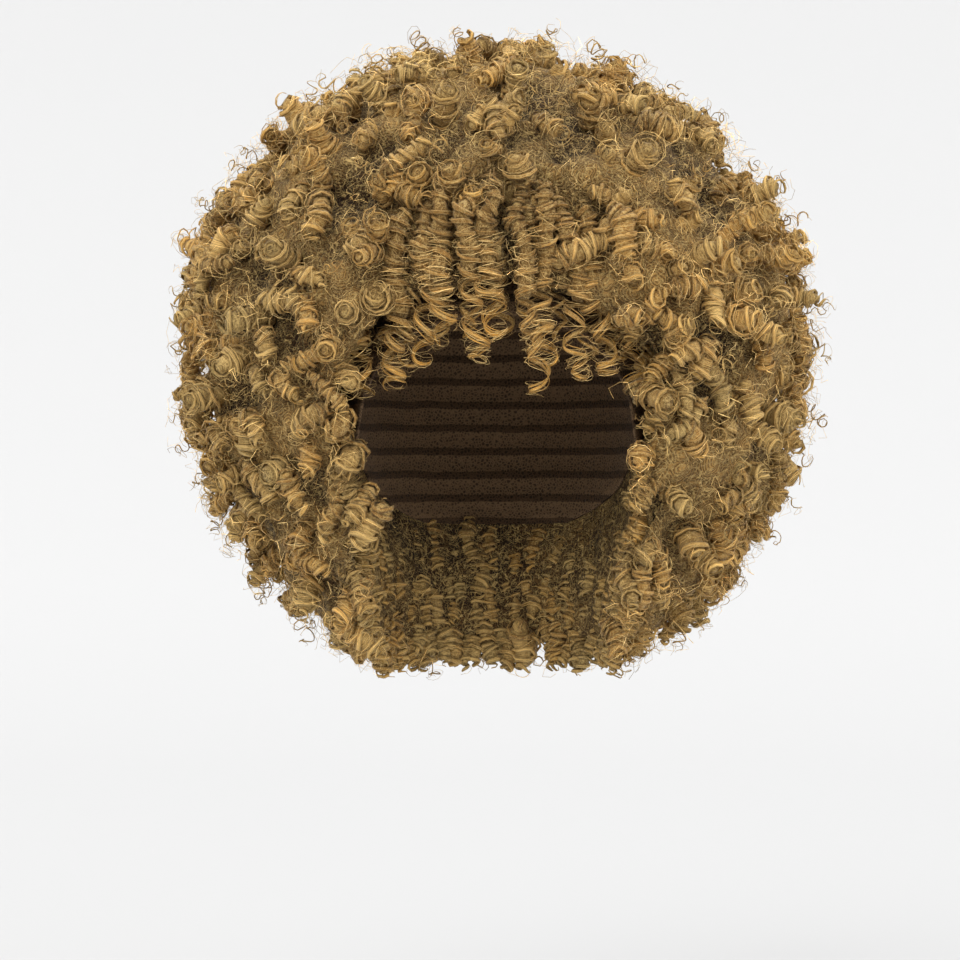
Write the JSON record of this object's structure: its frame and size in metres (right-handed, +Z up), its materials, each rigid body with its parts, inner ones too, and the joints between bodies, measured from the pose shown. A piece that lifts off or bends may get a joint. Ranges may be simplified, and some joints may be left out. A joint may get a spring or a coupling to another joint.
{
  "type": "wig",
  "caption": "Short round afro wig of tight honey-blond corkscrew curls with a curled fringe, on a plain dark stretch cap, in its worn shape",
  "frame": {"origin": "the point inside the cap that rests on the crown of the head", "axes": "+Z is up, the face opening looks along -Y, +X is to the right as the viewer faces the opening"},
  "size_m": [0.3308, 0.3193, 0.3224],
  "materials": {
    "cap_net": "matte dark brown stretch net",
    "curls": "soft low-sheen synthetic hair, honey blond with brown roots",
    "fringe_curls": "soft low-sheen synthetic hair, golden at the tips"
  },
  "bodies": {
    "root": {"wig_cap": "cap_net", "crown_hair": "curls", "front_hair": "curls", "right_upper_hair": "curls", "back_upper_hair": "curls", "left_upper_hair": "curls", "right_lower_hair": "curls", "back_lower_hair": "curls", "left_lower_hair": "curls", "fringe": "fringe_curls"}
  },
  "joints": []
}
